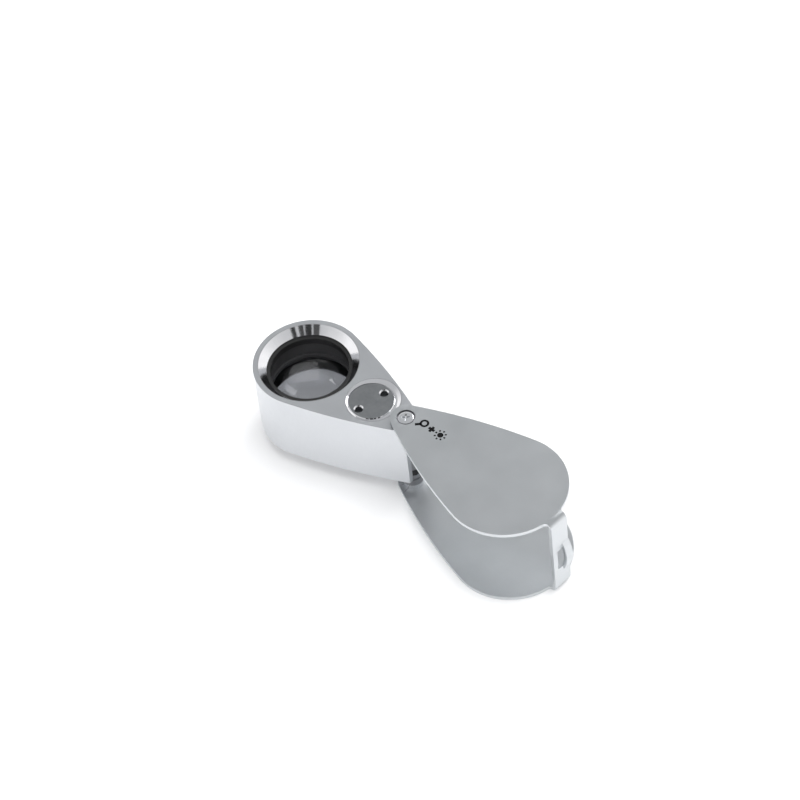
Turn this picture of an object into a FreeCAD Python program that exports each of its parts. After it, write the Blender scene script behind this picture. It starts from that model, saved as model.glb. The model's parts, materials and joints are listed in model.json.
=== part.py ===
import FreeCAD, Part
import math
import os
import re

import Sketcher

# Folding illuminated loupe, shown swung open.
# A U-bent sheet cover carries a post; the lens housing turns on that post, in and out of the cover.
# Frame: origin at the centre of the cover's round end on its underside, +X towards the strap, +Z up.
# Parts of the swinging housing are drawn in the housing's own frame: post axis at the origin, head
# along +X, then turned out by open_angle.

DIMENSIONS = [
    # Cover
    ("overall_height", 25.0, "underside to top face of the cover"),
    ("sheet_thickness", 1.0, "cover sheet"),
    ("pivot_offset", 32.0, "round end centre to post axis"),
    ("cover_end_radius", 14.8, "round end"),
    ("cover_nose_radius", 3.85, "end at the post"),
    ("cover_side_radius", 145.0, "slightly bowed long sides"),
    ("strap_width", 5.2, "strap that joins the two plates"),
    ("strap_reach", 16.5, "round end centre to the strap's outer face"),
    ("bend_radius", 1.7, "outer radius of the two bends"),
    ("neck_radius", 1.0, "hollow corner where the strap leaves the round end"),
    ("eyelet_low", 6.0, "lower end of the raised eyelet strip"),
    ("eyelet_high", 16.0, "upper end of the raised eyelet strip"),
    ("eyelet_bulge", 1.3, "how far the strip stands out"),
    ("slot_low", 7.6, "lower end of the slot beside the strip"),
    ("slot_high", 14.2, "upper end of the slot"),
    ("slot_near", 1.25, "slot edge on the -Y side"),
    ("slot_far", 0.5, "slot edge next to the raised strip"),
    ("screw_recess_radius", 2.27, "round recess for a pivot screw head"),
    ("screw_recess_depth", 0.6, ""),
    ("screw_hole_radius", 1.1, "pivot screw clearance"),
    # Pivot
    ("open_angle", 183.0, "housing swung out, measured from the closed position"),
    ("post_radius", 2.45, ""),
    ("shoulder_radius", 2.7, "shoulder that carries the housing"),
    ("shoulder_low", 2.4, "top of the lower washer"),
    ("bore_radius", 2.5, "housing bore that turns on the post"),
    ("post_groove_radius", 1.95, "seat of the insulating half collar"),
    ("groove_low", 5.8, ""),
    ("groove_high", 7.8, ""),
    ("tap_radius", 0.85, "threaded hole in each post end"),
    ("tap_depth", 4.0, ""),
    ("screw_head_radius", 1.9, ""),
    ("screw_head_height", 0.55, ""),
    ("screw_shank_radius", 0.82, ""),
    ("screw_shank_length", 4.0, "under the head"),
    ("cross_length", 2.4, "cross recess, tip to tip"),
    ("cross_width", 0.55, ""),
    ("cross_depth", 0.4, ""),
    ("washer_radius", 2.75, ""),
    ("washer_bore", 2.5, ""),
    # Housing shell
    ("housing_low", 4.2, "underside of the housing"),
    ("housing_high", 23.5, "top of the housing"),
    ("head_offset", 31.1, "post axis to lens axis"),
    ("head_radius", 13.65, ""),
    ("nose_radius", 3.4, "housing end at the post"),
    ("housing_side_radius", 165.0, ""),
    ("nose_cut", 1.7, "open front of the bore, behind the post axis"),
    ("lens_bore", 11.55, ""),
    ("bezel_radius", 12.4, ""),
    ("seat_clearance", 0.05, "radial gap around every pressed or threaded ring"),
    ("bezel_low", 20.2, "underside of the upper bezel"),
    ("cone_low", 21.6, "start of the bezel's cone"),
    ("aperture_radius", 10.5, ""),
    ("bezel_lip", 0.1, "flat lip at the top of each bezel"),
    ("lower_bezel_high", 5.2, ""),
    ("lower_aperture_radius", 8.1, ""),
    # Lens set
    ("barrel_radius", 11.5, ""),
    ("barrel_bore", 10.55, ""),
    ("ledge_radius", 7.8, "inner edge of the barrel's ledge"),
    ("ledge_high", 6.0, ""),
    ("lens_radius", 10.5, ""),
    ("dome_radius", 9.8, "curved area of each lens"),
    ("lower_lens_edge", 7.5, "top of the lower lens's rim"),
    ("lower_lens_dome", 1.8, "height of its dome"),
    ("upper_lens_seat", 12.5, "top of the lens spacer"),
    ("upper_lens_edge", 14.0, "top of the upper lens's rim"),
    ("upper_lens_dome", 3.0, ""),
    ("upper_lens_belly", 1.0, "depth of its lower curve"),
    ("spacer_bore", 9.85, ""),
    ("retainer_high", 14.9, ""),
    ("mouth_radius", 10.45, "ring screwed into the barrel's mouth"),
    ("mouth_bore", 9.6, ""),
    ("mouth_low", 19.4, ""),
    ("mouth_high", 21.2, ""),
    # Battery well
    ("well_offset", 11.05, "post axis to battery axis"),
    ("well_radius", 5.55, ""),
    ("ring_radius", 6.71, "bevelled insert"),
    ("ring_shift_x", -0.38, "its outline is turned off centre from its thread"),
    ("ring_shift_y", -0.35, ""),
    ("ring_low", 21.2, ""),
    ("ring_bore", 5.75, ""),
    ("ring_bevel_depth", 0.5, ""),
    ("cap_radius", 5.7, ""),
    ("cap_low", 21.25, ""),
    ("cap_high", 23.2, ""),
    ("cap_bevel", 0.2, ""),
    ("spanner_radius", 0.9, "spanner holes in the battery cap"),
    ("spanner_bevel", 0.3, ""),
    ("spanner_depth", 1.6, ""),
    ("spanner_offset", 3.8, "cap centre to each hole"),
    ("spanner_angle", 77.0, ""),
    ("contact_radius", 4.6, ""),
    ("contact_low", 21.05, ""),
    ("sleeve_radius", 5.5, ""),
    ("sleeve_bore", 4.9, ""),
    ("sleeve_high", 20.6, ""),
    ("cell_radius", 4.75, ""),
    ("cell_height", 2.7, ""),
    ("cell_bevel", 0.3, ""),
    ("cell_base", 12.95, "underside of the lowest cell"),
    ("spring_radius", 3.2, ""),
    ("spring_wire", 0.3, "wire radius"),
    ("spring_turns", 3.0, ""),
    # Electronics
    ("bay_start", 4.2, "bottom plate, end nearest the post"),
    ("bay_end", 17.8, "end nearest the lens"),
    ("bay_start_half", 3.9, "half width at the start"),
    ("bay_end_half", 8.6, "half width at the end"),
    ("plate_thickness", 1.0, ""),
    ("chamber_start", 6.0, ""),
    ("chamber_end", 15.6, ""),
    ("chamber_start_half", 3.7, ""),
    ("chamber_end_half", 6.9, ""),
    ("chamber_high", 9.2, "ceiling of the electronics chamber"),
    ("loose_fit", 0.15, "gap around parts that drop into a recess"),
    ("led_radius", 1.5, ""),
    ("led_flange", 1.65, ""),
    ("led_length", 5.3, ""),
    ("led_offset", 13.7, "post axis to both lamps, along the housing"),
    ("led_spread", 4.4, "lamp distance from the centre line"),
    ("led_hole", 1.75, ""),
    ("board_thickness", 0.8, ""),
    ("resistor_length", 3.2, ""),
    ("resistor_width", 1.6, ""),
    ("resistor_height", 0.6, ""),
    ("leaf_thickness", 0.2, ""),
    ("leaf_width", 1.6, ""),
    ("leaf_height", 6.8, "height at which the leaf meets the post"),
    ("leaf_reach", 2.55, "post axis to the leaf's tip"),
    ("leaf_slot", 2.0, "slot in the bore wall"),
    ("plate_screw_x", 16.7, ""),
    ("plate_screw_y", 6.2, ""),
    ("plate_screw_head", 1.0, ""),
    ("plate_screw_shank", 0.6, ""),
    ("plate_screw_length", 3.6, ""),
]

WORDS = {word for word, _, _ in DIMENSIONS}
FAR = 60.0

doc = FreeCAD.newDocument("loupe")
sheet = doc.addObject("Spreadsheet::Sheet", "Dims")
nodes = []


def fill_sheet():
    for row, (word, value, note) in enumerate(DIMENSIONS, start=1):
        sheet.set(f"A{row}", word)
        sheet.set(f"B{row}", str(value))
        sheet.set(f"C{row}", note)
        sheet.setAlias(f"B{row}", word)
    doc.recompute()


def spelled(text):
    """An expression with the sheet's name put before each of its dimensions."""
    return re.sub(r"[a-z_]+", lambda m: "Dims." + m[0] if m[0] in WORDS else m[0], str(text))


def value(text):
    """The number an expression stands for, in millimetres or degrees."""
    result = sheet.evalExpression(spelled(text))
    return float(getattr(result, "Value", result))


def bind(item, **paths):
    for path, text in paths.items():
        item.setExpression(path.replace("__", "."), spelled(text))


def finish_node(item, label, swings=True):
    """Names a finished sub-part and puts it where it sits in the loupe."""
    item.Label = label
    if swings:
        axis = FreeCAD.Vector(0, 0, 1)
        item.Placement = FreeCAD.Placement(FreeCAD.Vector(), FreeCAD.Rotation(axis, value("open_angle")))
        bind(item, Placement__Base__x="-pivot_offset", Placement__Rotation__Angle="open_angle")
    nodes.append(item)
    return item


# Sketches


def new_body(name):
    return doc.addObject("PartDesign::Body", name)


def new_sketch(body, plane, name, lift="0"):
    """An empty sketch on one of the body's own planes, lifted along that plane's normal."""
    sketch = body.newObject("Sketcher::SketchObject", name)
    origin_plane = [f for f in body.Origin.OriginFeatures if f.Role == plane][0]
    sketch.AttachmentSupport = (origin_plane, [""])
    sketch.MapMode = "FlatFace"
    bind(sketch, AttachmentOffset__Base__z=lift)
    return sketch


def pin(sketch, geometry, point, x, y):
    """Holds a point at a place given by two expressions."""
    for kind, text in (("DistanceX", x), ("DistanceY", y)):
        index = sketch.addConstraint(Sketcher.Constraint(kind, -1, 1, geometry, point, value(text)))
        sketch.setExpression(f"Constraints[{index}]", spelled(text))


def set_radius(sketch, geometry, text):
    index = sketch.addConstraint(Sketcher.Constraint("Radius", geometry, value(text)))
    sketch.setExpression(f"Constraints[{index}]", spelled(text))


def draw_circle(sketch, x, y, radius):
    centre = FreeCAD.Vector(value(x), value(y), 0)
    circle = Part.Circle(centre, FreeCAD.Vector(0, 0, 1), value(radius))
    geometry = sketch.addGeometry(circle)
    pin(sketch, geometry, 3, x, y)
    set_radius(sketch, geometry, radius)


def arc_between(start, end, radius, turn):
    """The short arc from start to end; turn is 1 counter-clockwise or -1 clockwise."""
    chord = end - start
    half = chord.Length / 2
    rise = math.sqrt(max(radius**2 - half**2, 0))
    left = FreeCAD.Vector(-chord.y, chord.x, 0).normalize()
    centre = (start + end) * 0.5 + left * (rise * turn)
    first, last = (start, end) if turn > 0 else (end, start)
    from_angle = math.atan2(first.y - centre.y, first.x - centre.x)
    to_angle = math.atan2(last.y - centre.y, last.x - centre.x)
    if to_angle < from_angle:
        to_angle += 2 * math.pi
    circle = Part.Circle(centre, FreeCAD.Vector(0, 0, 1), radius)
    return Part.ArcOfCircle(circle, from_angle, to_angle)


def draw_outline(sketch, corners):
    """A closed outline. A corner is (x, y), or (x, y, radius, turn) when an arc leads up to it."""
    points = [FreeCAD.Vector(value(c[0]), value(c[1]), 0) for c in corners]
    pieces = []
    for index, corner in enumerate(corners):
        start, end = points[index - 1], points[index]
        if len(corner) == 2:
            pieces.append((sketch.addGeometry(Part.LineSegment(start, end)), 1, 2))
            continue
        turn = corner[3]
        geometry = sketch.addGeometry(arc_between(start, end, value(corner[2]), turn))
        pieces.append((geometry, 1, 2) if turn > 0 else (geometry, 2, 1))
    for index, (geometry, _, last) in enumerate(pieces):
        following, first, _ = pieces[(index + 1) % len(pieces)]
        sketch.addConstraint(Sketcher.Constraint("Coincident", geometry, last, following, first))
        pin(sketch, geometry, last, corners[index][0], corners[index][1])
        if len(corners[index]) == 4:
            set_radius(sketch, geometry, corners[index][2])


def draw_teardrop(sketch, nose_x, nose_radius, end_x, end_radius, side_radius):
    """Two round ends joined by bowed sides, every joint tangent."""
    nose, end, near, far, side = map(value, (nose_x, end_x, nose_radius, end_radius, side_radius))
    span = end - nose
    reach_nose, reach_end = side - near, side - far
    along = (reach_nose**2 - reach_end**2 + span**2) / (2 * span)
    across = math.sqrt(reach_nose**2 - along**2)
    nose_angle = math.atan2(across, -along)
    end_angle = math.atan2(across, span - along)
    up = FreeCAD.Vector(0, 0, 1)
    arcs = [
        (nose, 0, near, nose_angle, 2 * math.pi - nose_angle),
        (nose + along, across, side, -nose_angle, -end_angle),
        (end, 0, far, -end_angle, end_angle),
        (nose + along, -across, side, end_angle, nose_angle),
    ]
    for x, y, radius, low, high in arcs:
        circle = Part.Circle(FreeCAD.Vector(x, y, 0), up, radius)
        sketch.addGeometry(Part.ArcOfCircle(circle, low, high))
    for geometry in range(4):
        following = (geometry + 1) % 4
        sketch.addConstraint(Sketcher.Constraint("Tangent", geometry, 2, following, 1))
    pin(sketch, 0, 3, nose_x, "0")
    pin(sketch, 2, 3, end_x, "0")
    for geometry, text in enumerate((nose_radius, side_radius, end_radius, side_radius)):
        set_radius(sketch, geometry, text)


# Features


def pad(body, sketch, length, symmetric=False):
    feature = body.newObject("PartDesign::Pad", sketch.Name + "_pad")
    feature.Profile = sketch
    feature.Midplane = symmetric
    bind(feature, Length=length)
    body.Tip = feature
    doc.recompute()
    return feature


def pocket(body, sketch, length, along=False, symmetric=False):
    """Cuts against the sketch plane's normal, or along it."""
    feature = body.newObject("PartDesign::Pocket", sketch.Name + "_pocket")
    feature.Profile = sketch
    feature.Midplane = symmetric
    feature.Reversed = along
    bind(feature, Length=length)
    body.Tip = feature
    doc.recompute()
    return feature


def fillet(body, base, radius, chosen):
    """Rounds the edges of base that the test chosen accepts."""
    names = [f"Edge{i}" for i, edge in enumerate(base.Shape.Edges, start=1) if chosen(edge)]
    feature = body.newObject("PartDesign::Fillet", base.Name + "_round")
    feature.Base = (base, names)
    bind(feature, Radius=radius)
    body.Tip = feature
    doc.recompute()
    return feature


def turned_body(name, corners):
    """A body turned about its own Z axis from a half section of (radius, height) corners."""
    body = new_body(name)
    section = new_sketch(body, "XZ_Plane", name + "_section")
    draw_outline(section, corners)
    feature = body.newObject("PartDesign::Revolution", name + "_turn")
    feature.Profile = section
    feature.ReferenceAxis = (section, ["V_Axis"])
    feature.Angle = 360
    body.Tip = feature
    doc.recompute()
    return body


def ring_body(name, outer, inner, low, high):
    return turned_body(name, [(inner, low), (outer, low), (outer, high), (inner, high)])


def shift_node(item, x="0", y="0", z="0"):
    """Moves a swinging sub-part from the post axis to its own place in the housing's frame."""
    turn_x = f"({x}) * cos(open_angle) - ({y}) * sin(open_angle) - pivot_offset"
    turn_y = f"({x}) * sin(open_angle) + ({y}) * cos(open_angle)"
    bind(item, Placement__Base__x=turn_x, Placement__Base__y=turn_y, Placement__Base__z=z)
    return item


# Cover and pivot


def make_cover():
    body = new_body("cover")
    plan = new_sketch(body, "XY_Plane", "cover_plan")
    draw_teardrop(
        plan, "-pivot_offset", "cover_nose_radius", "0", "cover_end_radius", "cover_side_radius"
    )
    pad(body, plan, "overall_height")
    strap = new_sketch(body, "XY_Plane", "strap_plan")
    half = "strap_width / 2"
    reach = "strap_reach"
    draw_outline(strap, [("0", f"-{half}"), (reach, f"-{half}"), (reach, half), ("0", half)])
    block = pad(body, strap, "overall_height")
    fillet(body, block, "neck_radius", is_neck_edge)
    cut_sheet_form(body)
    cut_eyelet_slot(body)
    raise_eyelet_strip(body)
    cut_screw_seat(body, "lower", "0", upwards=True)
    cut_screw_seat(body, "upper", "overall_height", upwards=False)
    return finish_node(body, "cover", swings=False)


def is_neck_edge(edge):
    middle = edge.BoundBox.Center
    upright = edge.BoundBox.ZLength > value("overall_height") - 0.1
    beside_strap = abs(abs(middle.y) - value("strap_width") / 2) < 0.01
    return upright and beside_strap and middle.x < value("strap_reach") - 0.5


def cut_sheet_form(body):
    """Leaves two plates and the strap of the bent sheet, with both bends rounded."""
    low, high = "sheet_thickness", "overall_height - sheet_thickness"
    wall, bend = "strap_reach - sheet_thickness", "bend_radius - sheet_thickness"
    inside = new_sketch(body, "XZ_Plane", "inside_form")
    draw_outline(
        inside,
        [
            (f"-{FAR}", low),
            (f"{wall} - ({bend})", low),
            (wall, f"{low} + {bend}", bend, 1),
            (wall, f"{high} - ({bend})"),
            (f"{wall} - ({bend})", high, bend, 1),
            (f"-{FAR}", high),
        ],
    )
    pocket(body, inside, f"{FAR}", symmetric=True)
    bends = new_sketch(body, "XZ_Plane", "outer_bends")
    start = "strap_reach - bend_radius"
    reach, bend_radius = "strap_reach", "bend_radius"
    draw_outline(bends, [(reach, "0"), (reach, bend_radius), (start, "0", bend_radius, -1)])
    pocket(body, bends, f"{FAR}", symmetric=True)
    top = new_sketch(body, "XZ_Plane", "upper_bend")
    draw_outline(
        top,
        [
            ("strap_reach", "overall_height"),
            (start, "overall_height"),
            ("strap_reach", "overall_height - bend_radius", "bend_radius", -1),
        ],
    )
    pocket(body, top, f"{FAR}", symmetric=True)


def cut_eyelet_slot(body):
    """The slot itself, and the flat metal that the raised strip is made from."""
    far = "strap_width / 2 + 1"
    cut_window(body, "eyelet_slot", "-slot_near", far, "slot_low", "slot_high")
    cut_window(body, "eyelet_strip_space", "slot_far", far, "eyelet_low", "eyelet_high")


def cut_window(body, name, near, far, low, high):
    window = new_sketch(body, "YZ_Plane", name)
    draw_outline(window, [(near, low), (far, low), (far, high), (near, high)])
    pocket(body, window, f"{FAR}", along=True)


def raise_eyelet_strip(body):
    """The strip beside the slot, arched outwards so that a cord passes behind it."""
    outer, inner = "strap_reach", "strap_reach - sheet_thickness"
    half_span = "(eyelet_high - eyelet_low) / 2"
    arch = f"(({half_span})^2 + eyelet_bulge^2) / (2 * eyelet_bulge)"
    strip = new_sketch(body, "XZ_Plane", "eyelet_strip", lift="-(strap_width / 2 + slot_far) / 2")
    draw_outline(
        strip,
        [
            (inner, "eyelet_low", arch, -1),
            (outer, "eyelet_low"),
            (outer, "eyelet_high", arch, 1),
            (inner, "eyelet_high"),
        ],
    )
    pad(body, strip, "strap_width / 2 - slot_far", symmetric=True)


def cut_screw_seat(body, name, level, upwards):
    """Recess and clearance hole for a pivot screw, from the outside of a plate inwards."""
    recess = new_sketch(body, "XY_Plane", name + "_screw_recess", lift=level)
    draw_circle(recess, "-pivot_offset", "0", "screw_recess_radius")
    pocket(body, recess, "screw_recess_depth", along=upwards)
    hole = new_sketch(body, "XY_Plane", name + "_screw_hole", lift=level)
    draw_circle(hole, "-pivot_offset", "0", "screw_hole_radius")
    pocket(body, hole, "sheet_thickness", along=upwards)


def make_post():
    low, high = "sheet_thickness", "overall_height - sheet_thickness"
    post = turned_body(
        "pivot_post",
        [
            ("tap_radius", low),
            ("post_radius", low),
            ("post_radius", "shoulder_low"),
            ("shoulder_radius", "shoulder_low"),
            ("shoulder_radius", "housing_low"),
            ("post_radius", "housing_low"),
            ("post_radius", "groove_low"),
            ("post_groove_radius", "groove_low"),
            ("post_groove_radius", "groove_high"),
            ("post_radius", "groove_high"),
            ("post_radius", high),
            ("tap_radius", high),
            ("tap_radius", f"{high} - tap_depth"),
            ("0", f"{high} - tap_depth"),
            ("0", f"{low} + tap_depth"),
            ("tap_radius", f"{low} + tap_depth"),
        ],
    )
    finish_node(post, "pivot_post", swings=False)
    bind(post, Placement__Base__x="-pivot_offset")


def make_insulator():
    """Half collar in the post's groove; it breaks the lamp circuit while the housing is closed."""
    gap = "loose_fit / 10"
    collar = ring_body(
        "insulator_ring",
        "post_radius - 2 * loose_fit / 10",
        f"post_groove_radius + {gap}",
        f"groove_low + {gap}",
        f"groove_high - {gap}",
    )
    half = doc.addObject("Part::Box", "insulator_half")
    bind(half, Length="post_radius", Width="2 * post_radius", Height="overall_height")
    bind(half, Placement__Base__y="-post_radius")
    shape = doc.addObject("Part::MultiCommon", "switch_insulator")
    shape.Shapes = [collar, half]
    finish_node(shape, "switch_insulator", swings=False)
    bind(shape, Placement__Base__x="-pivot_offset")


def make_pivot_screw(label, head_outside, turn_over):
    """A cross-recessed screw drawn head up with the outside of its head at z = 0."""
    under = "-screw_head_height"
    stem = turned_body(
        label + "_blank",
        [
            ("0", f"{under} - screw_shank_length"),
            ("screw_shank_radius", f"{under} - screw_shank_length"),
            ("screw_shank_radius", under),
            ("screw_head_radius", under),
            ("screw_head_radius", "-0.15"),
            ("screw_head_radius - 0.2", "0"),
            ("0", "0"),
        ],
    )
    arms = []
    for name, length, width in (("a", "cross_length", "cross_width"), ("b", "cross_width", "cross_length")):
        arm = doc.addObject("Part::Box", f"{label}_recess_{name}")
        bind(arm, Length=length, Width=width, Height="cross_depth")
        bind(arm, Placement__Base__x=f"-({length}) / 2", Placement__Base__y=f"-({width}) / 2")
        bind(arm, Placement__Base__z="-cross_depth")
        arms.append(arm)
    cross = doc.addObject("Part::MultiFuse", label + "_cross")
    cross.Shapes = arms
    screw = doc.addObject("Part::Cut", label)
    screw.Base, screw.Tool = stem, cross
    finish_node(screw, label, swings=False)
    roll = 180 if turn_over else 0
    screw.Placement = FreeCAD.Placement(FreeCAD.Vector(), FreeCAD.Rotation(45, 0, roll))
    bind(screw, Placement__Base__x="-pivot_offset", Placement__Base__z=head_outside)


def make_washer(label, low, high):
    washer = ring_body(label, "washer_radius", "washer_bore", low, high)
    finish_node(washer, label, swings=False)
    bind(washer, Placement__Base__x="-pivot_offset")


# Housing


def bay_corners(start, end, start_half, end_half):
    return [(start, f"-({start_half})"), (end, f"-({end_half})"), (end, end_half), (start, start_half)]


def drill(body, name, x, y, radius, level, depth, upwards):
    """A round hole from a level, upwards or downwards."""
    circle = new_sketch(body, "XY_Plane", name, lift=level)
    draw_circle(circle, x, y, radius)
    pocket(body, circle, depth, along=upwards)


def hollow(body, name, corners, level, depth):
    outline = new_sketch(body, "XY_Plane", name, lift=level)
    draw_outline(outline, corners)
    pocket(body, outline, depth, along=True)


def make_housing():
    body = new_body("housing")
    plan = new_sketch(body, "XY_Plane", "housing_plan", lift="housing_low")
    draw_teardrop(plan, "0", "nose_radius", "head_offset", "head_radius", "housing_side_radius")
    pad(body, plan, "housing_high - housing_low")
    height = "housing_high - housing_low"
    cut_line, far = "-nose_cut", "-2 * nose_radius"
    wide = "2 * nose_radius"
    front = [(far, f"-{wide}"), (cut_line, f"-{wide}"), (cut_line, wide), (far, wide)]
    hollow(body, "open_front", front, "housing_low", height)
    drill(body, "post_bore", "0", "0", "bore_radius", "housing_low", height, True)
    drill(body, "barrel_bore_cut", "head_offset", "0", "lens_bore", "housing_low", height, True)
    seat = "bezel_radius + seat_clearance"
    drill(body, "upper_seat", "head_offset", "0", seat, "housing_high", "housing_high - bezel_low", False)
    depth = "lower_bezel_high - housing_low"
    drill(body, "lower_seat", "head_offset", "0", seat, "housing_low", depth, True)
    hollow(body, "plate_recess", bay_corners("bay_start", "bay_end", "bay_start_half", "bay_end_half"),
           "housing_low", "plate_thickness")
    hollow(body, "chamber",
           bay_corners("chamber_start", "chamber_end", "chamber_start_half", "chamber_end_half"),
           "housing_low", "chamber_high - housing_low")
    depth = "housing_high - chamber_high"
    drill(body, "well", "well_offset", "0", "well_radius", "housing_high", depth, False)
    drill(body, "ring_seat", "well_offset + ring_shift_x", "ring_shift_y", "ring_radius + seat_clearance",
          "housing_high", "housing_high - ring_low", False)
    slot = "leaf_slot / 2"
    hollow(body, "leaf_window",
           [("0", f"-{slot}"), ("chamber_start", f"-{slot}"), ("chamber_start", slot), ("0", slot)],
           "housing_low + plate_thickness", "leaf_height + 1 - housing_low - plate_thickness")
    for side, sign in (("left", ""), ("right", "-")):
        drill(body, f"plate_screw_{side}", "plate_screw_x", f"{sign}plate_screw_y",
              "plate_screw_shank + seat_clearance", "housing_low", "plate_screw_length + 1", True)
    finish_node(body, "housing")


def make_bezels():
    upper = turned_body(
        "upper_bezel",
        [
            ("aperture_radius", "bezel_low"),
            ("bezel_radius", "bezel_low"),
            ("bezel_radius", "housing_high"),
            ("bezel_radius - bezel_lip", "housing_high"),
            ("aperture_radius", "cone_low"),
        ],
    )
    lower = turned_body(
        "lower_bezel",
        [
            ("lower_aperture_radius + 0.8", "housing_low"),
            ("bezel_radius - bezel_lip", "housing_low"),
            ("bezel_radius", "housing_low + bezel_lip"),
            ("bezel_radius", "lower_bezel_high"),
            ("lower_aperture_radius", "lower_bezel_high"),
        ],
    )
    for item, label in ((upper, "upper_bezel"), (lower, "lower_bezel")):
        shift_node(finish_node(item, label), "head_offset")


def make_lens_set():
    barrel = turned_body(
        "lens_barrel",
        [
            ("ledge_radius", "lower_bezel_high"),
            ("barrel_radius", "lower_bezel_high"),
            ("barrel_radius", "bezel_low"),
            ("barrel_bore", "bezel_low"),
            ("barrel_bore", "ledge_high"),
            ("ledge_radius", "ledge_high"),
        ],
    )
    upper = turned_body(
        "upper_lens",
        [
            ("0", "upper_lens_seat - upper_lens_belly"),
            ("dome_radius", "upper_lens_seat", dome_curve("upper_lens_belly"), 1),
            ("lens_radius", "upper_lens_seat"),
            ("lens_radius", "upper_lens_edge"),
            ("dome_radius", "upper_lens_edge"),
            ("0", "upper_lens_edge + upper_lens_dome", dome_curve("upper_lens_dome"), 1),
        ],
    )
    lower = turned_body(
        "lower_lens",
        [
            ("0", "ledge_high"),
            ("lens_radius", "ledge_high"),
            ("lens_radius", "lower_lens_edge"),
            ("dome_radius", "lower_lens_edge"),
            ("0", "lower_lens_edge + lower_lens_dome", dome_curve("lower_lens_dome"), 1),
        ],
    )
    spacer = ring_body("lens_spacer", "lens_radius", "spacer_bore", "lower_lens_edge", "upper_lens_seat")
    retainer = ring_body("lens_retainer", "lens_radius", "spacer_bore", "upper_lens_edge", "retainer_high")
    mouth = ring_body("mouth_ring", "mouth_radius", "mouth_bore", "mouth_low", "mouth_high")
    for item in (barrel, upper, lower, spacer, retainer, mouth):
        shift_node(finish_node(item, item.Name), "head_offset")


def dome_curve(rise):
    """Radius of a spherical cap that spans the curved area and rises by the given height."""
    return f"(dome_radius^2 + ({rise})^2) / (2 * {rise})"


# Battery well


def make_battery_ring():
    """Bevelled insert: its outside is turned off centre from the bore that takes the cap."""
    blank = turned_body(
        "battery_ring_blank",
        [
            ("0", "ring_low"),
            ("ring_radius", "ring_low"),
            ("ring_radius", "housing_high"),
            ("ring_radius - 0.1", "housing_high"),
            ("ring_bore", "housing_high - ring_bevel_depth"),
            ("0", "housing_high - ring_bevel_depth"),
        ],
    )
    bore = doc.addObject("Part::Cylinder", "battery_ring_bore")
    bind(bore, Radius="ring_bore", Height="overall_height")
    bind(bore, Placement__Base__x="-ring_shift_x", Placement__Base__y="-ring_shift_y")
    ring = doc.addObject("Part::Cut", "battery_ring")
    ring.Base, ring.Tool = blank, bore
    shift_node(finish_node(ring, "battery_ring"), "well_offset + ring_shift_x", "ring_shift_y")


def make_battery_cap():
    body = turned_body(
        "battery_cap",
        [
            ("0", "cap_low"),
            ("cap_radius", "cap_low"),
            ("cap_radius", "cap_high - cap_bevel"),
            ("cap_radius - cap_bevel", "cap_high"),
            ("0", "cap_high"),
        ],
    )
    for name, sign in (("a", ""), ("b", "-")):
        x = f"{sign}spanner_offset * cos(spanner_angle)"
        y = f"{sign}spanner_offset * sin(spanner_angle)"
        drill(body, f"spanner_hole_{name}", x, y, "spanner_radius", "cap_high", "spanner_depth", False)
    fillet_base = body.Tip
    names = [
        f"Edge{i}"
        for i, edge in enumerate(fillet_base.Shape.Edges, start=1)
        if is_spanner_rim(edge)
    ]
    bevel = body.newObject("PartDesign::Chamfer", "spanner_hole_bevels")
    bevel.Base = (fillet_base, names)
    bind(bevel, Size="spanner_bevel")
    body.Tip = bevel
    shift_node(finish_node(body, "battery_cap"), "well_offset")


def is_spanner_rim(edge):
    if not isinstance(edge.Curve, Part.Circle):
        return False
    at_top = abs(edge.BoundBox.ZMin - value("cap_high")) < 0.001 and edge.BoundBox.ZLength < 0.001
    return at_top and abs(edge.Curve.Radius - value("spanner_radius")) < 0.001


def make_battery_stack():
    edge = "contact_radius"
    contact = turned_body(
        "cap_contact", [("0", "contact_low"), (edge, "contact_low"), (edge, "cap_low"), ("0", "cap_low")]
    )
    sleeve = ring_body("battery_sleeve", "sleeve_radius", "sleeve_bore", "chamber_high", "sleeve_high")
    for item in (contact, sleeve):
        shift_node(finish_node(item, item.Name), "well_offset")
    for number in range(3):
        low = f"cell_base + {number} * cell_height"
        high = f"cell_base + {number + 1} * cell_height"
        cell = turned_body(
            f"battery_cell_{number + 1}",
            [
                ("0", low),
                ("cell_radius - cell_bevel", low),
                ("cell_radius", f"{low} + cell_bevel"),
                ("cell_radius", high),
                ("0", high),
            ],
        )
        shift_node(finish_node(cell, cell.Name), "well_offset")


def make_battery_spring():
    """Coil between the circuit board and the lowest cell."""
    body = new_body("battery_spring")
    wire = new_sketch(body, "XZ_Plane", "spring_wire_section")
    low = "chamber_high + spring_wire"
    draw_circle(wire, "spring_radius", low, "spring_wire")
    coil = body.newObject("PartDesign::AdditiveHelix", "spring_coil")
    coil.Profile = wire
    coil.ReferenceAxis = (wire, ["V_Axis"])
    coil.Mode = "height-turns-growth"
    bind(coil, Height="cell_base - chamber_high - 2 * spring_wire - 0.1", Turns="spring_turns")
    body.Tip = coil
    doc.recompute()
    shift_node(finish_node(body, "battery_spring"), "well_offset")


# Electronics


def make_circuit_board():
    body = new_body("circuit_board")
    outline = new_sketch(body, "XY_Plane", "board_outline", lift="chamber_high - board_thickness")
    gap = "loose_fit"
    draw_outline(
        outline,
        bay_corners(f"chamber_start + {gap}", f"chamber_end - {gap}",
                    f"chamber_start_half - 2 * {gap}", f"chamber_end_half - 2 * {gap}"),
    )
    pad(body, outline, "board_thickness")
    finish_node(body, "circuit_board")


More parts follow.
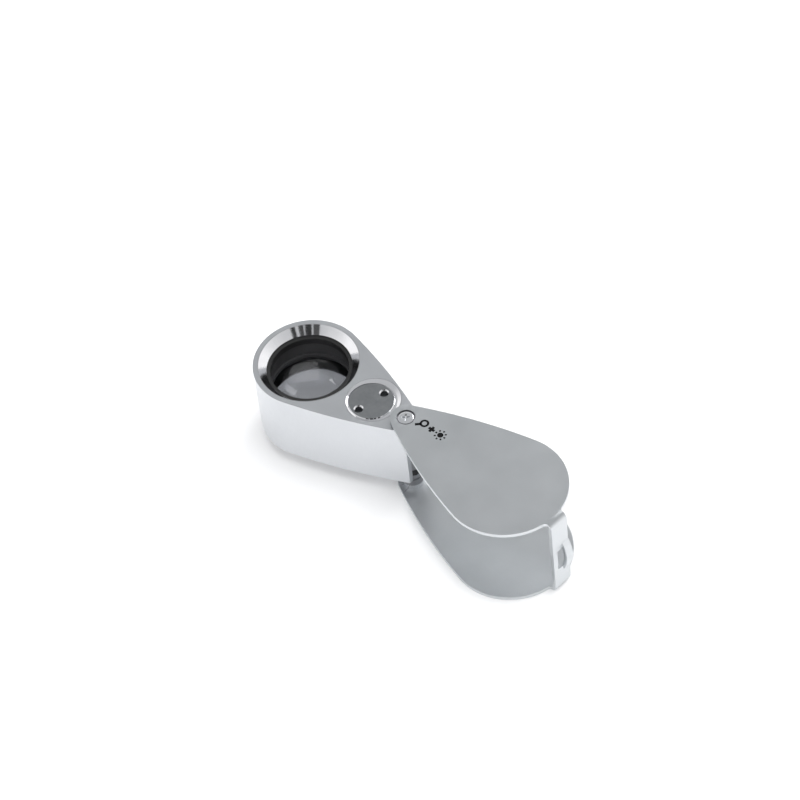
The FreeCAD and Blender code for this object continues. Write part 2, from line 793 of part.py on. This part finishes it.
def make_lamp(label, sign):
    """A three millimetre lamp, hanging from the board with its dome down."""
    top = "chamber_high - board_thickness"
    low = f"{top} - led_length"
    lamp = turned_body(
        label,
        [
            ("0", low),
            ("led_radius", f"{low} + led_radius", "led_radius", 1),
            ("led_radius", f"{top} - 0.8"),
            ("led_flange", f"{top} - 0.8"),
            ("led_flange", top),
            ("0", top),
        ],
    )
    shift_node(finish_node(lamp, label), "led_offset", f"{sign}led_spread")


def make_resistor():
    chip = doc.addObject("Part::Box", "resistor")
    bind(chip, Length="resistor_width", Width="resistor_length", Height="resistor_height")
    finish_node(chip, "resistor")
    shift_node(chip, "well_offset - 1", "-resistor_length / 2",
               "chamber_high - board_thickness - resistor_height")


def make_switch_leaf():
    """Spring leaf from the board to the post; it rubs on the post and on the half collar."""
    body = new_body("switch_leaf")
    section = new_sketch(body, "XZ_Plane", "leaf_section")
    top = "chamber_high - board_thickness"
    foot, knee = "chamber_start + 3", "chamber_start + 1"
    thick = "leaf_thickness"
    draw_outline(
        section,
        [
            (foot, top),
            (knee, top),
            (knee, f"leaf_height + {thick}"),
            ("leaf_reach", f"leaf_height + {thick}"),
            ("leaf_reach", "leaf_height"),
            (f"{knee} + {thick}", "leaf_height"),
            (f"{knee} + {thick}", f"{top} - {thick}"),
            (foot, f"{top} - {thick}"),
        ],
    )
    pad(body, section, "leaf_width", symmetric=True)
    finish_node(body, "switch_leaf")


def make_bottom_plate():
    body = new_body("bottom_plate")
    outline = new_sketch(body, "XY_Plane", "bottom_plate_outline", lift="housing_low")
    gap = "loose_fit"
    draw_outline(
        outline,
        bay_corners(f"bay_start + {gap}", f"bay_end - {gap}",
                    f"bay_start_half - {gap}", f"bay_end_half - {gap}"),
    )
    pad(body, outline, "plate_thickness")
    for side, sign in (("left", ""), ("right", "-")):
        drill(body, f"lamp_hole_{side}", "led_offset", f"{sign}led_spread", "led_hole",
              "housing_low", "plate_thickness", True)
        drill(body, f"plate_hole_{side}", "plate_screw_x", f"{sign}plate_screw_y",
              "plate_screw_shank + seat_clearance", "housing_low", "plate_thickness", True)
        drill(body, f"plate_sink_{side}", "plate_screw_x", f"{sign}plate_screw_y",
              "plate_screw_head + seat_clearance", "housing_low", "plate_thickness / 2", True)
    finish_node(body, "bottom_plate")


def make_plate_screws():
    screws = []
    head = "plate_thickness / 2"
    for side, sign in (("left", ""), ("right", "-")):
        blank = turned_body(
            f"plate_screw_{side}_blank",
            [
                ("0", "0.2"),
                ("plate_screw_head / 3", "0.2"),
                ("plate_screw_head / 3", "0"),
                ("plate_screw_head", "0"),
                ("plate_screw_head", head),
                ("plate_screw_shank", head),
                ("plate_screw_shank", "plate_screw_length"),
                ("0", "plate_screw_length"),
            ],
        )
        bind(blank, Placement__Base__x="plate_screw_x", Placement__Base__y=f"{sign}plate_screw_y")
        bind(blank, Placement__Base__z="housing_low")
        screws.append(blank)
    pair = doc.addObject("Part::Compound", "bottom_plate_screws")
    pair.Links = screws
    finish_node(pair, "bottom_plate_screws")


def check_and_export():
    doc.recompute()
    for item in doc.Objects:
        if "Invalid" in item.State or "Error" in item.State:
            raise RuntimeError(f"{item.Name} did not compute: {item.State}")
    os.makedirs("parts", exist_ok=True)
    for item in nodes:
        if item.Shape.isNull() or not item.Shape.isValid():
            raise RuntimeError(f"{item.Label} has no valid shape")
        item.Shape.exportStep(f"parts/{item.Label}.step")
        print(item.Label, len(item.Shape.Solids), round(item.Shape.Volume, 2), item.Shape.BoundBox)


fill_sheet()
make_cover()
make_post()
make_insulator()
make_pivot_screw("upper_pivot_screw", "overall_height - 0.03", turn_over=False)
make_pivot_screw("lower_pivot_screw", "0.03", turn_over=True)
make_washer("lower_washer", "sheet_thickness", "shoulder_low")
make_washer("upper_washer", "housing_high", "overall_height - sheet_thickness")
make_housing()
make_bezels()
make_lens_set()
make_battery_ring()
make_battery_cap()
make_battery_stack()
make_battery_spring()
make_circuit_board()
make_lamp("lamp_left", "")
make_lamp("lamp_right", "-")
make_resistor()
make_switch_leaf()
make_bottom_plate()
make_plate_screws()
check_and_export()
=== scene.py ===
import json
import math

import bmesh
import bpy
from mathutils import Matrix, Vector


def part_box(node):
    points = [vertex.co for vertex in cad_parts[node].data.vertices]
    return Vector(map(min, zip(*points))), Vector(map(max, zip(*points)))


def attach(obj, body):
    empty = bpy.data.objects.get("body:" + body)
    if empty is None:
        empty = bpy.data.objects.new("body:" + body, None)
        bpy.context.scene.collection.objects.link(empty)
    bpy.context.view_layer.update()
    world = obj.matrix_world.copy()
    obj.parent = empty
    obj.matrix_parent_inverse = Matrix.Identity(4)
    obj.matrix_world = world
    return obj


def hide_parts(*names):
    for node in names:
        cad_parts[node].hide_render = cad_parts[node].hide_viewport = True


# Studio picture of a folding loupe, swung open. Metres, in the CAD model's frame.

MM = 0.001
CAMERA_PLACE = (0.347369, -0.331466, 0.621458)
CAMERA_TURN = (0.702789, 0.081853, 0.758182)
CAMERA_LENS = 148.25
CAMERA_SENSOR = 36.0
CURVE_STEPS = 128
CARD_REACH = 0.6
CARD_HEIGHT = 0.47
FLOOR_REACH = 3.0
FLOOR_DROP = 0.02 * MM
EDGE_ROUNDING = 0.1 * MM
WELD_REACH = 0.002 * MM
SEAT_REACH = 2.4 * MM

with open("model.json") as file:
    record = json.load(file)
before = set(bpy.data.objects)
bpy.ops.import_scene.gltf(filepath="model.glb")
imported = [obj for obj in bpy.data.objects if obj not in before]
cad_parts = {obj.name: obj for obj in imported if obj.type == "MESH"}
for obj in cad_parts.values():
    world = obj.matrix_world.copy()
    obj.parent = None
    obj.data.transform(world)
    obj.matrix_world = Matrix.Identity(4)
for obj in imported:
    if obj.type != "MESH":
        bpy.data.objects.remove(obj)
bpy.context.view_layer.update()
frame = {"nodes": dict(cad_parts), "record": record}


# Where things are, read from the frame


def middle(node):
    low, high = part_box(node)
    return (Vector(low) + Vector(high)) / 2


def top_of(node):
    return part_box(node)[1][2]


def bottom_of(node):
    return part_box(node)[0][2]


def radius_of(node):
    low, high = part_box(node)
    return (high[0] - low[0]) / 2


LENS_AXIS = middle("upper_bezel")
CAP_AXIS = middle("battery_cap")
POST_AXIS = middle("pivot_post")


# Materials


class Paint:
    """A material's node tree, with one line for each kind of node that the finishes share."""

    def __init__(self, name):
        self.material = bpy.data.materials.new(name)
        self.material.use_nodes = True
        self.nodes = self.material.node_tree.nodes
        self.links = self.material.node_tree.links
        self.shader = self.nodes["Principled BSDF"]
        self.place = self.nodes.new("ShaderNodeTexCoord").outputs["Object"]

    def set(self, **values):
        for name, value in values.items():
            self.shader.inputs[name.replace("_", " ")].default_value = value

    def scaled(self, x, y, z):
        """Object position in millimetres, stretched to give a grain its direction."""
        mapping = self.nodes.new("ShaderNodeMapping")
        mapping.inputs["Scale"].default_value = (x / MM, y / MM, z / MM)
        self.links.new(self.place, mapping.inputs["Vector"])
        return mapping.outputs["Vector"]

    def noise(self, vector, scale, detail=3.0, roughness=0.6):
        node = self.nodes.new("ShaderNodeTexNoise")
        node.inputs["Scale"].default_value = scale
        node.inputs["Detail"].default_value = detail
        node.inputs["Roughness"].default_value = roughness
        self.links.new(vector, node.inputs["Vector"])
        return node.outputs["Fac"]

    def ramp(self, value, low, high, stops=(0.3, 0.7)):
        """Turns a value into a number or colour between two ends."""
        node = self.nodes.new("ShaderNodeMapRange")
        node.inputs["From Min"].default_value = stops[0]
        node.inputs["From Max"].default_value = stops[1]
        if isinstance(low, tuple):
            mix = self.nodes.new("ShaderNodeMix")
            mix.data_type = "RGBA"
            mix.inputs["A"].default_value = (*low, 1)
            mix.inputs["B"].default_value = (*high, 1)
            self.links.new(value, node.inputs["Value"])
            self.links.new(node.outputs["Result"], mix.inputs["Factor"])
            return mix.outputs["Result"]
        node.inputs["To Min"].default_value = low
        node.inputs["To Max"].default_value = high
        self.links.new(value, node.inputs["Value"])
        return node.outputs["Result"]

    def joined(self, first, second, kind="MULTIPLY"):
        node = self.nodes.new("ShaderNodeMath")
        node.operation = kind
        self.links.new(first, node.inputs[0])
        self.links.new(second, node.inputs[1])
        return node.outputs[0]

    def colour(self, output):
        self.links.new(output, self.shader.inputs["Base Color"])

    def gloss(self, output):
        self.links.new(output, self.shader.inputs["Roughness"])

    def bump(self, height, depth, strength=1.0):
        node = self.nodes.new("ShaderNodeBump")
        node.inputs["Strength"].default_value = strength
        node.inputs["Distance"].default_value = depth
        self.links.new(height, node.inputs["Height"])
        self.links.new(node.outputs["Normal"], self.shader.inputs["Normal"])


def satin_metal(name, light, dark, roughness, grain=(1.0, 1.0, 1.0), depth=0.004 * MM):
    """Satin chromed surface: fine blasted grain, faint cloudiness and a few handling marks."""
    paint = Paint(name)
    paint.set(Metallic=1.0)
    fine = paint.noise(paint.scaled(*grain), 9.0, detail=4.0)
    clouds = paint.noise(paint.scaled(0.12, 0.12, 0.12), 1.0, detail=5.0)
    scuffs = paint.noise(paint.scaled(0.4, 4.0, 0.4), 1.2, detail=2.0)
    paint.colour(paint.ramp(clouds, dark, light))
    handled = paint.joined(clouds, scuffs)
    paint.gloss(paint.ramp(handled, roughness - 0.05, roughness + 0.07, (0.12, 0.42)))
    paint.bump(fine, depth)
    return paint.material


def polished_metal(name, tone=(0.93, 0.93, 0.95), roughness=0.06, waviness=0.006 * MM):
    """Bright chrome with the slight unevenness of a polished surface and hairline wipe marks."""
    paint = Paint(name)
    paint.set(Metallic=1.0)
    slow = paint.noise(paint.scaled(0.25, 0.25, 0.25), 1.0, detail=2.0)
    hairs = paint.noise(paint.scaled(0.6, 14.0, 0.6), 1.0, detail=3.0)
    paint.colour(paint.ramp(slow, tuple(0.94 * c for c in tone), tone))
    paint.gloss(paint.ramp(hairs, roughness, roughness + 0.1, (0.45, 0.8)))
    paint.bump(paint.joined(slow, hairs, "ADD"), waviness, 0.5)
    return paint.material


def turned_metal(name, centre, light, dark, roughness, pitch=0.22):
    """Metal faced on a lathe: fine rings about an upright axis."""
    paint = Paint(name)
    paint.set(Metallic=1.0)
    offset = paint.nodes.new("ShaderNodeVectorMath")
    offset.operation = "SUBTRACT"
    offset.inputs[1].default_value = centre
    paint.links.new(paint.place, offset.inputs[0])
    paint.place = offset.outputs[0]
    rings = paint.nodes.new("ShaderNodeTexWave")
    rings.wave_type = "RINGS"
    rings.rings_direction = "Z"
    rings.inputs["Scale"].default_value = 0.314 / pitch
    rings.inputs["Distortion"].default_value = 1.2
    rings.inputs["Detail"].default_value = 2.0
    paint.links.new(paint.scaled(1, 1, 1), rings.inputs["Vector"])
    clouds = paint.noise(paint.scaled(0.5, 0.5, 0.5), 1.0)
    paint.colour(paint.ramp(clouds, dark, light))
    speckle = paint.noise(paint.scaled(1, 1, 1), 11.0)
    paint.gloss(paint.ramp(speckle, roughness, roughness + 0.12))
    paint.bump(paint.joined(rings.outputs["Fac"], speckle, "ADD"), 0.004 * MM)
    return paint.material


def lacquered_plastic(name, light, dark, roughness, metallic=0.0, grain=8.0, depth=0.004 * MM):
    """Moulded plastic with a fine orange-peel surface."""
    paint = Paint(name)
    paint.set(Metallic=metallic, Coat_Weight=0.0)
    fine = paint.noise(paint.scaled(1, 1, 1), grain, detail=3.0)
    clouds = paint.noise(paint.scaled(0.2, 0.2, 0.2), 1.0, detail=4.0)
    paint.colour(paint.ramp(clouds, dark, light))
    paint.gloss(paint.ramp(fine, roughness, roughness + 0.1))
    paint.bump(fine, depth)
    return paint.material


def lens_glass(name):
    """Polished crown glass with a trace of dust, tinted grey as painted shade that darkens the view
    through the lens.
    """
    paint = Paint(name)
    paint.set(Transmission_Weight=1.0, IOR=1.52, Coat_Weight=0.0)
    dust = paint.noise(paint.scaled(1, 1, 1), 2.5, detail=6.0, roughness=0.75)
    paint.gloss(paint.ramp(dust, 0.0, 0.05, (0.62, 0.8)))
    # Painted shade: the grey tint stands in for the shade seen through the lens; the dust noise only
    # varies it a little.
    paint.colour(paint.ramp(dust, (0.66, 0.67, 0.69), (0.62, 0.63, 0.65), (0.6, 0.85)))
    return paint.material


def clear_resin(name):
    """Water-clear lamp resin with faint flow marks."""
    paint = Paint(name)
    paint.set(Transmission_Weight=0.9, IOR=1.5)
    flow = paint.noise(paint.scaled(0.8, 0.8, 0.3), 1.0)
    paint.gloss(paint.ramp(flow, 0.05, 0.14))
    paint.colour(paint.ramp(flow, (0.9, 0.92, 0.95), (0.97, 0.98, 1.0)))
    return paint.material


def printed_ink(name):
    """Black pad print, slightly broken at its thinnest."""
    paint = Paint(name)
    speckle = paint.noise(paint.scaled(1, 1, 1), 6.0, detail=5.0)
    paint.colour(paint.ramp(speckle, (0.003, 0.003, 0.003), (0.008, 0.008, 0.009)))
    paint.set(Specular_IOR_Level=0.12)
    paint.gloss(paint.ramp(speckle, 0.6, 0.8))
    paint.bump(speckle, 0.002 * MM)
    return paint.material


def studio_floor(name):
    paint = Paint(name)
    grain = paint.noise(paint.scaled(0.02, 0.02, 0.02), 1.0, detail=2.0)
    paint.colour(paint.ramp(grain, (0.90, 0.90, 0.905), (0.92, 0.92, 0.922)))
    paint.set(Roughness=0.9, Specular_IOR_Level=0.1)
    return paint.material


FINISHES = {
    "satin_sheet": satin_metal("satin_sheet", (0.63, 0.65, 0.665), (0.60, 0.62, 0.635), 0.38),
    "satin_housing": satin_metal("satin_housing", (0.655, 0.67, 0.69), (0.63, 0.645, 0.665), 0.36),
    "satin_bottom": satin_metal("satin_bottom", (0.70, 0.71, 0.74), (0.66, 0.67, 0.70), 0.42),
    "polished_chrome": polished_metal("polished_chrome"),
    "bright_screw": polished_metal("bright_screw", (0.85, 0.86, 0.88), 0.16),
    "spacer_steel": polished_metal("spacer_steel", (0.86, 0.87, 0.89), 0.22),
    "dark_steel": polished_metal("dark_steel", (0.42, 0.42, 0.44), 0.3),
    "cap_metal": turned_metal("cap_metal", CAP_AXIS, (0.30, 0.31, 0.32), (0.25, 0.26, 0.27), 0.42),
    "contact_brass": polished_metal("contact_brass", (0.80, 0.62, 0.32), 0.25),
    "cell_steel": polished_metal("cell_steel", (0.74, 0.74, 0.76), 0.22),
    "spring_steel": polished_metal("spring_steel", (0.66, 0.66, 0.68), 0.24),
    "black_barrel": lacquered_plastic("black_barrel", (0.055, 0.055, 0.058), (0.042, 0.042, 0.045), 0.28),
    "black_plastic": lacquered_plastic("black_plastic", (0.012, 0.012, 0.012), (0.008, 0.008, 0.008), 0.4),
    "board_green": lacquered_plastic("board_green", (0.03, 0.16, 0.06), (0.02, 0.12, 0.045), 0.3),
    "printed_ink": printed_ink("printed_ink"),
    "lens_glass": lens_glass("lens_glass"),
    "lamp_clear": clear_resin("lamp_clear"),
}


def dress(piece, finish):
    """Gives a piece one finish all over."""
    piece.data.materials.clear()
    piece.data.materials.append(FINISHES[finish])
    for face in piece.data.polygons:
        face.material_index = 0


def soften(piece, width, angle=35):
    """Rounds a CAD node's sharp edges a little, as a real edge is, and shades its curves smooth."""
    weld = piece.modifiers.new("weld", "WELD")
    weld.merge_threshold = WELD_REACH
    bevel = piece.modifiers.new("edges", "BEVEL")
    bevel.width = width
    bevel.segments = 3
    bevel.limit_method = "ANGLE"
    bevel.angle_limit = math.radians(angle)
    bevel.miter_outer = "MITER_ARC"
    flat = piece.modifiers.new("flat_faces", "WEIGHTED_NORMAL")
    flat.weight = 100
    for face in piece.data.polygons:
        face.use_smooth = True


def dress_cad_nodes():
    slots = {part["node"]: part["material_slot"] for part in frame["record"]["subparts"]}
    for name, piece in frame["nodes"].items():
        dress(piece, slots[name])


def paint_seat_shade(piece, finish, reach):
    """The screw seats of the cover, darkened with a second finish as painted shade in the recess below its
    outer faces.
    """
    piece.data.materials.append(FINISHES[finish])
    low, high = bottom_of("cover"), top_of("cover")
    for face in piece.data.polygons:
        near = (Vector(face.center[:2]) - POST_AXIS.xy).length < reach
        inside = low + 0.01 * MM < face.center.z < high - 0.01 * MM
        if near and inside:
            face.material_index = 1


def brighten_slopes(piece, finish):
    """The bevelled edges of a piece, left bright where its flat faces are duller."""
    piece.data.materials.append(FINISHES[finish])
    for face in piece.data.polygons:
        if 0.3 < face.normal.z < 0.95:
            face.material_index = 1


# Pieces made here


def new_piece(name, mesh, finish, body):
    piece = bpy.data.objects.new(name, mesh)
    bpy.context.scene.collection.objects.link(piece)
    mesh.materials.append(FINISHES[finish])
    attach(piece, body)
    return piece


def extruded(outlines, low, high):
    """A mesh of flat outlines given a thickness; an outline is a list of (x, y) points."""
    work = bmesh.new()
    for outline in outlines:
        below = [work.verts.new((x, y, low)) for x, y in outline]
        above = [work.verts.new((x, y, high)) for x, y in outline]
        work.faces.new(list(reversed(below)))
        work.faces.new(above)
        for index in range(len(outline)):
            after = (index + 1) % len(outline)
            work.faces.new((below[index], below[after], above[after], above[index]))
    bmesh.ops.recalc_face_normals(work, faces=work.faces)
    mesh = bpy.data.meshes.new("outline")
    work.to_mesh(mesh)
    work.free()
    return mesh


def round_points(x, y, radius, steps=48):
    angles = [2 * math.pi * index / steps for index in range(steps)]
    return [(x + radius * math.cos(a), y + radius * math.sin(a)) for a in angles]


def hoop_outlines(x, y, outer, inner, steps=48):
    """A flat ring as a run of short pieces, each a closed outline."""
    outlines = []
    for index in range(steps):
        first, last = (2 * math.pi * (index + end) / steps for end in (0, 1))
        corners = [(outer, first), (outer, last), (inner, last), (inner, first)]
        outlines.append([(x + r * math.cos(a), y + r * math.sin(a)) for r, a in corners])
    return outlines


def bar_outline(x, y, length, width, angle):
    along = Vector((math.cos(angle), math.sin(angle)))
    across = Vector((-along.y, along.x))
    centre = Vector((x, y))
    ends = [(-1, -1), (1, -1), (1, 1), (-1, 1)]
    points = [centre + along * (length / 2 * a) + across * (width / 2 * b) for a, b in ends]
    return [(p.x, p.y) for p in points]


SIGN_LIFT = 1.15 * MM
SIGN_STROKE = 0.7 * MM
SIGN_SINK = 0.01 * MM
INK_DEPTH = 0.014 * MM
LENS_SIGN = (4.75 * MM, 0.25 * MM, 1.15 * MM, 0.6 * MM)
HANDLE_SIGN = (3.72 * MM, -0.88 * MM, 1.5 * MM, 0.74 * MM)
PLUS_PLACE = 7.3 * MM
PLUS_LENGTH = 1.75 * MM
LAMP_PLACE = 10.1 * MM
LAMP_RADIUS = 0.75 * MM
RAY_COUNT = 8
RAY_REACH = 1.3 * MM
RAY_LENGTH = 0.5 * MM
RAY_WIDTH = 0.42 * MM


def lamp_outlines(x, y):
    """A disc with short rays round it."""
    outlines = [round_points(x, y, LAMP_RADIUS)]
    for index in range(RAY_COUNT):
        angle = 2 * math.pi / RAY_COUNT * index
        ray_x = x + RAY_REACH * math.cos(angle)
        ray_y = y + RAY_REACH * math.sin(angle)
        outlines.append(bar_outline(ray_x, ray_y, RAY_LENGTH, RAY_WIDTH, angle))
    return outlines


def add_print():
    """Three plain signs printed beside the screw: a magnifier, a plus and a lit lamp."""
    x, y = POST_AXIS.x, POST_AXIS.y + SIGN_LIFT
    low = top_of("cover") - SIGN_SINK
    lens_x, lens_y, outer, inner = LENS_SIGN
    lens = hoop_outlines(x + lens_x, y + lens_y, outer, inner)
    handle_x, handle_y, length, width = HANDLE_SIGN
    handle = bar_outline(x + handle_x, y + handle_y, length, width, math.radians(45))
    plus = [bar_outline(x + PLUS_PLACE, y, PLUS_LENGTH, SIGN_STROKE, a) for a in (0, math.pi / 2)]
    outlines = lens + [handle, plus[0]] + lamp_outlines(x + LAMP_PLACE, y)
    mesh = extruded(outlines, low, low + INK_DEPTH)
    new_piece("printed_signs", mesh, "printed_ink", "cover_body")
    upright = extruded([plus[1]], low, low + INK_DEPTH + 0.0002 * MM)
    new_piece("printed_plus", upright, "printed_ink", "cover_body")


def lathe(profile, axis, steps=CURVE_STEPS):
    """A mesh turned about an upright axis from (radius, height) points."""
    work = bmesh.new()
    rings = []
    for radius, height in profile:
        if radius == 0:
            rings.append([work.verts.new((axis.x, axis.y, height))])
            continue
        points = round_points(axis.x, axis.y, radius, steps)
        rings.append([work.verts.new((x, y, height)) for x, y in points])
    for lower, upper in zip(rings, rings[1:]):
        for index in range(steps):
            after = (index + 1) % steps
            corners = [lower[index % len(lower)], lower[after % len(lower)]]
            corners += [upper[after % len(upper)], upper[index % len(upper)]]
            unique = list(dict.fromkeys(corners))
            work.faces.new(unique)
    bmesh.ops.recalc_face_normals(work, faces=work.faces)
    mesh = bpy.data.meshes.new("turned")
    work.to_mesh(mesh)
    work.free()
    for face in mesh.polygons:
        face.use_smooth = True
    return mesh


HEAD_THICKNESS = 0.55 * MM
HEAD_CROWN = 0.2 * MM
HEAD_BLUNTNESS = 0.45
CROWN_STEPS = 8
SHANK_RADIUS = 0.82 * MM
SHANK_POINT = 0.3 * MM
CROSS_SECTIONS = ((0.45 * MM, 1.4 * MM, 0.3 * MM), (-0.2 * MM, 2.5 * MM, 0.62 * MM))


def screw_profile(radius, face, end, up):
    """Half outline of a pan-head screw, from the tip of its shank to the middle of its face."""
    under = face - up * HEAD_THICKNESS
    profile = [(0, end), (0.7 * SHANK_RADIUS, end), (SHANK_RADIUS, end + up * SHANK_POINT)]
    profile += [(SHANK_RADIUS, under), (radius, under), (radius, face - up * HEAD_CROWN)]
    for index in range(1, CROWN_STEPS):
        bend = math.pi / 2 * index / CROWN_STEPS
        drop = HEAD_CROWN * (1 - math.sin(bend))
        profile.append((radius * math.cos(bend) ** HEAD_BLUNTNESS, face - up * drop))
    return profile + [(0, face)]


def add_screw(node, up):
    """A pan-head screw whose cross recess tapers towards its floor; up is 1 or -1."""
    face = top_of(node) if up > 0 else bottom_of(node)
    end = bottom_of(node) if up > 0 else top_of(node)
    centre = middle(node)
    mesh = lathe(screw_profile(radius_of(node), face, end, up), centre, 96)
    screw = new_piece(node + "_detail", mesh, "bright_screw", "cover_body")
    cutter = bpy.data.objects.new("cutter", cross_mesh(centre, face, up))
    bpy.context.scene.collection.objects.link(cutter)
    cut = screw.modifiers.new("cross", "BOOLEAN")
    cut.operation = "DIFFERENCE"
    cut.solver = "EXACT"
    cut.use_self = True
    cut.object = cutter
    apply_modifiers(screw)
    bpy.data.objects.remove(cutter)
    mark_sharp(screw)
    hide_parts(node)


def cross_mesh(centre, face, up):
    """Two tapered bars, crossed, that reach a little past the screw's face."""
    work = bmesh.new()
    for angle in (math.radians(45), math.radians(135)):
        rings = []
        for depth, length, width in CROSS_SECTIONS:
            outline = bar_outline(centre.x, centre.y, length, width, angle)
            rings.append([work.verts.new((x, y, face - up * depth)) for x, y in outline])
        work.faces.new(rings[0])
        work.faces.new(rings[1])
        for index in range(4):
            after = (index + 1) % 4
            work.faces.new((rings[0][index], rings[0][after], rings[1][after], rings[1][index]))
    bmesh.ops.recalc_face_normals(work, faces=work.faces)
    mesh = bpy.data.meshes.new("cross")
    work.to_mesh(mesh)
    work.free()
    return mesh


def apply_modifiers(piece):
    """Puts what the modifiers do into the mesh."""
    depsgraph = bpy.context.evaluated_depsgraph_get()
    done = bpy.data.meshes.new_from_object(piece.evaluated_get(depsgraph))
    piece.modifiers.clear()
    piece.data = done


def mark_sharp(piece, angle=32):
    for face in piece.data.polygons:
        face.use_smooth = True
    piece.data.set_sharp_from_angle(angle=math.radians(angle))


dress_cad_nodes()
for name in ("cover", "housing", "bottom_plate"):
    soften(frame["nodes"][name], EDGE_ROUNDING)
# Painted shade: the cover's screw seats get a darker finish where the recess is in shade.
paint_seat_shade(frame["nodes"]["cover"], "dark_steel", SEAT_REACH)
brighten_slopes(frame["nodes"]["battery_cap"], "polished_chrome")
add_print()
add_screw("upper_pivot_screw", 1)
add_screw("lower_pivot_screw", -1)


# Studio


def add_floor():
    mesh = bpy.data.meshes.new("floor")
    sides = [(-1, -1), (1, -1), (1, 1), (-1, 1)]
    corners = [(x * FLOOR_REACH, y * FLOOR_REACH, -FLOOR_DROP) for x, y in sides]
    mesh.from_pydata(corners, [], [(0, 1, 2, 3)])
    floor = bpy.data.objects.new("floor", mesh)
    bpy.context.scene.collection.objects.link(floor)
    mesh.materials.append(studio_floor("floor_paper"))


def add_light(name, place, size, radiance, glossy):
    """A soft box that faces the loupe; radiance is its brightness seen in a mirror."""
    data = bpy.data.lights.new(name, "AREA")
    data.shape = "SQUARE"
    data.size = size
    data.energy = radiance * math.pi * size**2
    light = bpy.data.objects.new(name, data)
    light.location = place
    light.rotation_euler = (-Vector(place)).to_track_quat("-Z", "Y").to_euler()
    light.visible_glossy = glossy
    bpy.context.scene.collection.objects.link(light)


def add_card(name, azimuth, height, width, depth, shade):
    """An unlit card round the set that only mirrors see, like the camera and its stand."""
    bearing = math.radians(azimuth)
    outward = Vector((math.sin(bearing), -math.cos(bearing), 0))
    across = Vector((outward.y, -outward.x, 0))
    centre = LENS_AXIS + outward * CARD_REACH + Vector((0, 0, height))
    up = Vector((0, 0, 1))
    corners = [(-1, -1), (1, -1), (1, 1), (-1, 1)]
    points = [centre + across * (a * width / 2) + up * (b * depth / 2) for a, b in corners]
    mesh = bpy.data.meshes.new(name)
    mesh.from_pydata([tuple(p) for p in points], [], [(0, 1, 2, 3)])
    card = bpy.data.objects.new(name, mesh)
    bpy.context.scene.collection.objects.link(card)
    material = bpy.data.materials.new(name)
    material.use_nodes = True
    shader = material.node_tree.nodes["Principled BSDF"]
    shader.inputs["Base Color"].default_value = (shade, shade, shade, 1)
    mesh.materials.append(material)
    card.visible_camera = False
    card.visible_diffuse = False
    card.visible_shadow = False
    card.visible_transmission = False


def add_world():
    """Soft white surround that darkens overhead, as the tent over a product table does."""
    world = bpy.data.worlds.new("studio")
    world.use_nodes = True
    nodes, links = world.node_tree.nodes, world.node_tree.links
    place = nodes.new("ShaderNodeTexCoord").outputs["Generated"]
    split = nodes.new("ShaderNodeSeparateXYZ")
    links.new(place, split.inputs[0])
    ramp = nodes.new("ShaderNodeValToRGB")
    ramp.color_ramp.elements[0].position = 0.25
    ramp.color_ramp.elements[0].color = (1.0, 1.0, 1.0, 1)
    ramp.color_ramp.elements[1].position = 0.65
    ramp.color_ramp.elements[1].color = (0.50, 0.51, 0.52, 1)
    links.new(split.outputs["Z"], ramp.inputs["Fac"])
    links.new(ramp.outputs["Color"], nodes["Background"].inputs["Color"])
    nodes["Background"].inputs["Strength"].default_value = 1.0
    bpy.context.scene.world = world
    bpy.context.scene.view_settings.view_transform = "Standard"


def add_camera():
    data = bpy.data.cameras.new("camera")
    data.lens = CAMERA_LENS
    data.sensor_width = CAMERA_SENSOR
    data.clip_start = 0.01
    camera = bpy.data.objects.new("camera", data)
    camera.location = CAMERA_PLACE
    camera.rotation_euler = CAMERA_TURN
    bpy.context.scene.collection.objects.link(camera)
    bpy.context.scene.camera = camera


add_floor()
add_world()
add_light("window", (-0.1, 0.83, 0.55), 0.45, 4.0, True)
add_light("overhead", (0.15, 0.15, 1.2), 1.2, 2.6, False)
add_light("front", (0.35, -0.9, 0.75), 0.9, 1.8, False)
for name, azimuth, width, depth, shade in (
    ("camera_stand", 22, 0.15, 0.22, 0.03),
    ("camera_body", 40, 0.16, 0.34, 0.002),
    ("camera_grip", 56, 0.12, 0.3, 0.02),
    ("camera_lens", 74, 0.11, 0.24, 0.006),
):
    add_card(name, azimuth, CARD_HEIGHT, width, depth, shade)
add_camera()
